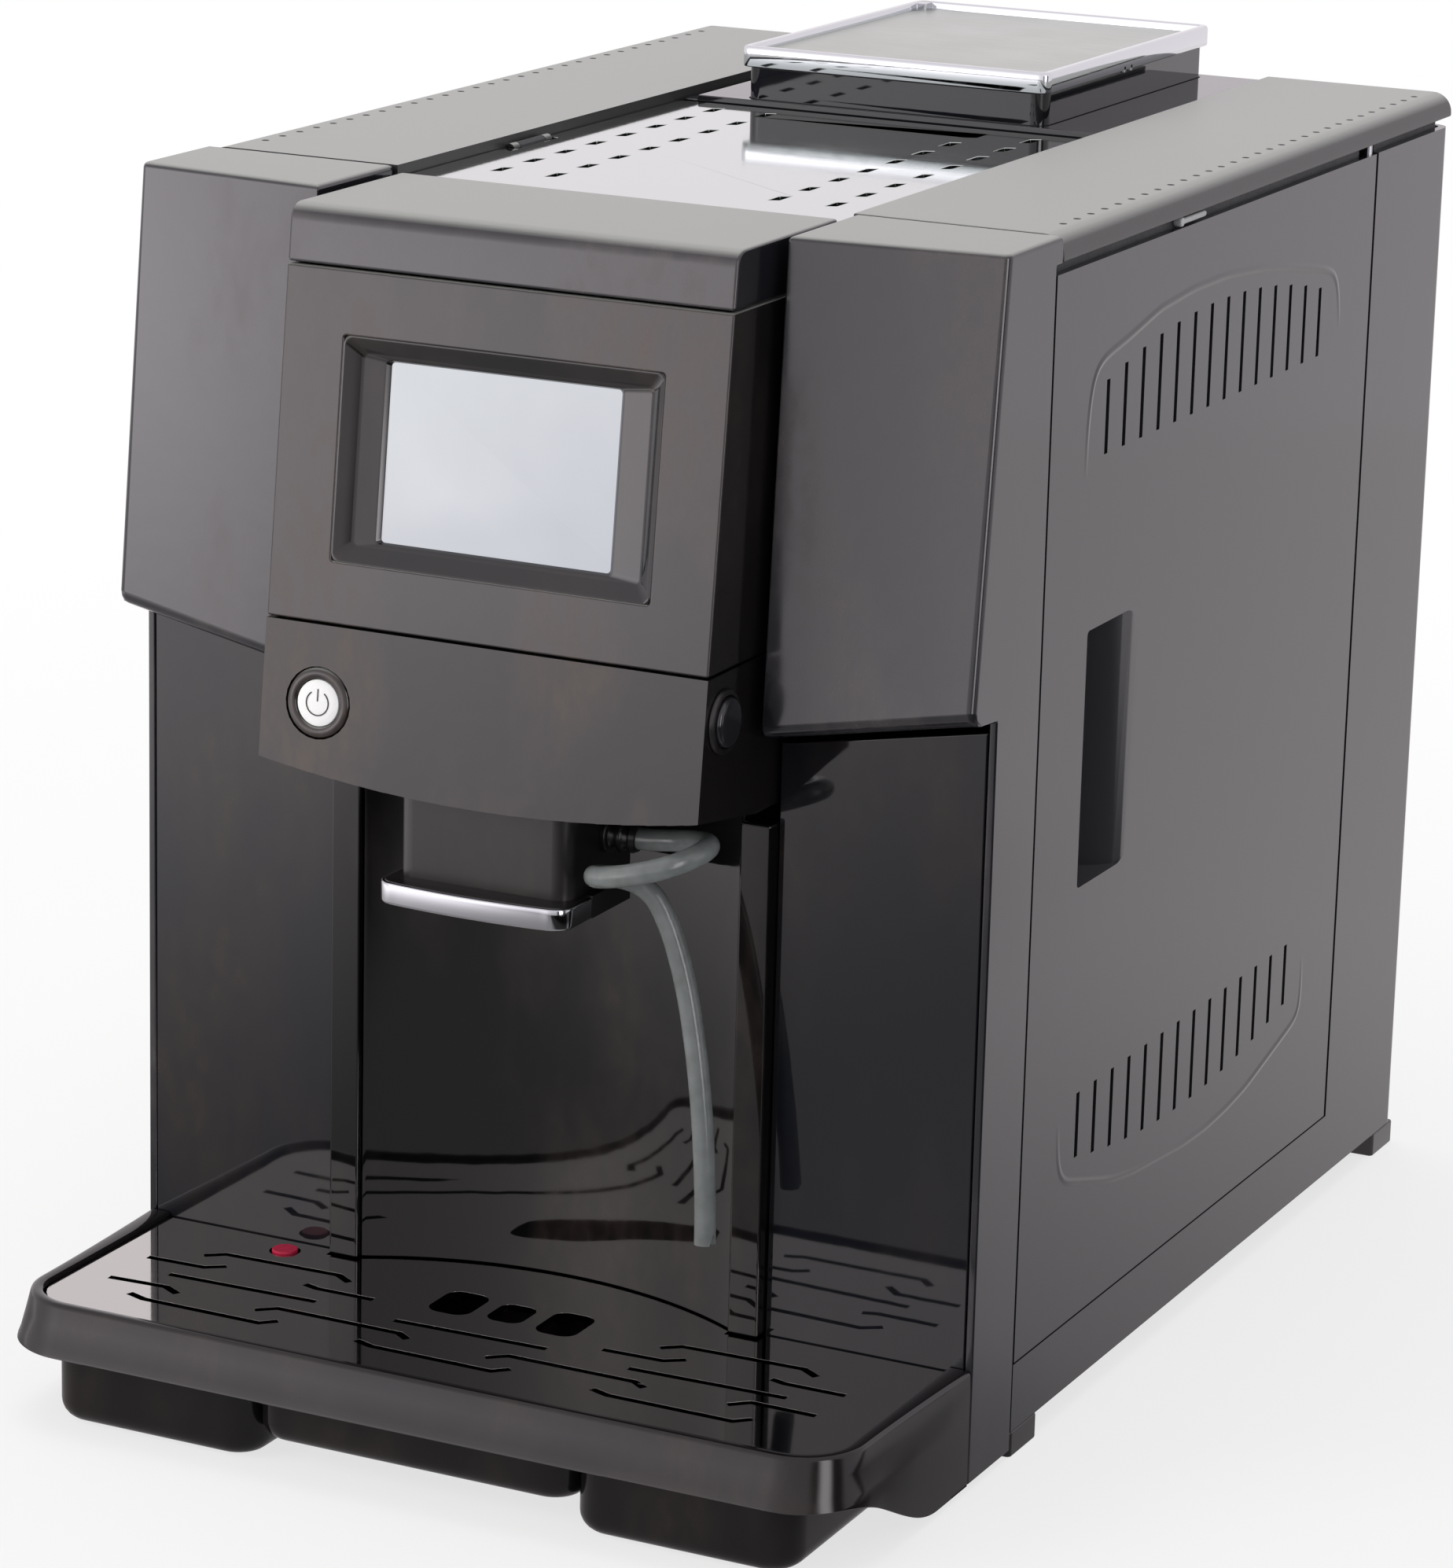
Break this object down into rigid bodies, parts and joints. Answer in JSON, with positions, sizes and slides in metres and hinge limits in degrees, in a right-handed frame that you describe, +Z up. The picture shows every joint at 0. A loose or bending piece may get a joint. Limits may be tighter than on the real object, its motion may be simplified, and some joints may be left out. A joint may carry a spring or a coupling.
{
  "type": "bean to cup coffee machine",
  "caption": "Countertop bean to cup coffee machine with touch screen head, sliding spout, milk hose, drip tray, side service door, water tank and bean hopper.",
  "frame": {"origin": "on the worktop, at the middle of the machine's bounding box", "axes": "+X to the machine's right seen from the front, +Y to its back, +Z up"},
  "size_m": [0.28, 0.456, 0.3822],
  "materials": {
    "piano_black": "moulded, polished",
    "satin_black": "moulded, satin",
    "inner_black": "moulded, matte",
    "chrome": "plated, mirror",
    "mirror_steel": "polished sheet",
    "steel": "turned or pressed",
    "rubber": "moulded, matte",
    "smoked_clear": "moulded, see-through",
    "silicone": "extruded, satin",
    "screen_glass": "smooth, lit pale",
    "circuit_board": "lacquered",
    "ceramic": "fired, ground",
    "pale_grey": "moulded, matte",
    "crimson": "moulded, satin"
  },
  "bodies": {
    "root": {"base_chassis": "inner_black", "foot_front_left": "rubber", "foot_front_right": "rubber", "foot_rear_left": "rubber", "foot_rear_right": "rubber", "left_side_cover": "piano_black", "rear_cover": "satin_black", "power_inlet": "inner_black", "fascia_right": "piano_black", "fascia_left": "piano_black", "lower_front_right": "piano_black", "lower_front_left": "piano_black", "brew_bay_panel": "piano_black", "door_hinge_pin": "steel", "head_cap": "piano_black", "display_housing": "piano_black", "button_housing": "piano_black", "screen_bezel": "satin_black", "touch_screen": "screen_glass", "display_board": "circuit_board", "button_ring": "satin_black", "knob_collar": "satin_black", "steam_valve": "steel", "top_frame": "inner_black", "right_deck": "satin_black", "deck_clip": "pale_grey", "rear_deck": "piano_black", "hopper_base": "piano_black", "bean_hopper": "smoked_clear", "tank_dock": "inner_black", "inner_frame": "inner_black", "grinder_housing": "inner_black", "upper_burr": "ceramic", "grinder_motor": "steel", "brew_frame": "satin_black", "brew_chamber": "pale_grey", "boiler": "steel", "pump": "steel", "main_board": "circuit_board", "spout_rail": "steel"},
    "door": {"service_door": "piano_black", "door_latch": "inner_black"},
    "grounds": {"grounds_container": "inner_black"},
    "tank": {"water_tank": "smoked_clear", "lid_hinge_tab": "inner_black", "lid_hinge_pin": "chrome"},
    "tank_lid": {"left_deck": "satin_black"},
    "cup_plate": {"cup_plate": "mirror_steel"},
    "hopper_lid": {"hopper_lid": "chrome"},
    "burr": {"lower_burr": "ceramic"},
    "piston": {"brew_piston": "pale_grey"},
    "button": {"power_button": "satin_black"},
    "knob": {"froth_knob": "satin_black"},
    "spout": {"spout_body": "satin_black", "spout_band": "chrome", "milk_nozzle": "satin_black", "milk_hose": "silicone"},
    "tray": {"drip_tray": "piano_black"},
    "grille": {"drip_grille": "mirror_steel"},
    "float": {"tray_float": "crimson"}
  },
  "joints": [
    {"name": "door_hinge", "type": "hinge", "parent": "root", "child": "door", "pos_m": [0.13775, 0.1545, 0.19], "axis": [0, 0, 1], "range_deg": [0, 100]},
    {"name": "grounds_slide", "type": "slide", "parent": "root", "child": "grounds", "axis": [1, 0, 0], "range_m": [0, 0.105]},
    {"name": "tank_lift", "type": "slide", "parent": "root", "child": "tank", "axis": [0, 0, 1], "range_m": [0, 0.28]},
    {"name": "lid_hinge", "type": "hinge", "parent": "tank", "child": "tank_lid", "pos_m": [-0.0732, -0.022, 0.3624], "axis": [0, 1, 0], "range_deg": [0, 90]},
    {"name": "cup_plate_lift", "type": "slide", "parent": "root", "child": "cup_plate", "axis": [0, 0, 1], "range_m": [0, 0.03]},
    {"name": "hopper_lid_lift", "type": "slide", "parent": "root", "child": "hopper_lid", "axis": [0, 0, 1], "range_m": [0, 0.06]},
    {"name": "burr_spin", "type": "hinge", "parent": "root", "child": "burr", "pos_m": [0, 0.1565, 0.27], "axis": [0, 0, 1], "continuous": true},
    {"name": "brew_press", "type": "slide", "parent": "root", "child": "piston", "axis": [0, 0, -1], "range_m": [0, 0.04]},
    {"name": "button_press", "type": "slide", "parent": "root", "child": "button", "axis": [0, 0.9942, -0.1078], "range_m": [0, 0.002], "stiffness_N_per_m": 300},
    {"name": "froth_turn", "type": "hinge", "parent": "root", "child": "knob", "pos_m": [0.0717, -0.172, 0.2318], "axis": [1, 0, 0], "range_deg": [-90, 90]},
    {"name": "spout_slide", "type": "slide", "parent": "root", "child": "spout", "axis": [0, 0, -1], "range_m": [0, 0.03]},
    {"name": "tray_slide", "type": "slide", "parent": "root", "child": "tray", "axis": [0, -1, 0], "range_m": [0, 0.1]},
    {"name": "grille_lift", "type": "slide", "parent": "tray", "child": "grille", "axis": [0, 0, 1], "range_m": [0, 0.03]},
    {"name": "float_rise", "type": "slide", "parent": "tray", "child": "float", "axis": [0, 0, 1], "range_m": [0, 0.008]}
  ],
  "couplings": [
    {"joint": "grounds_slide", "follows": "door_hinge", "m_per_rad": 0.06}
  ]
}
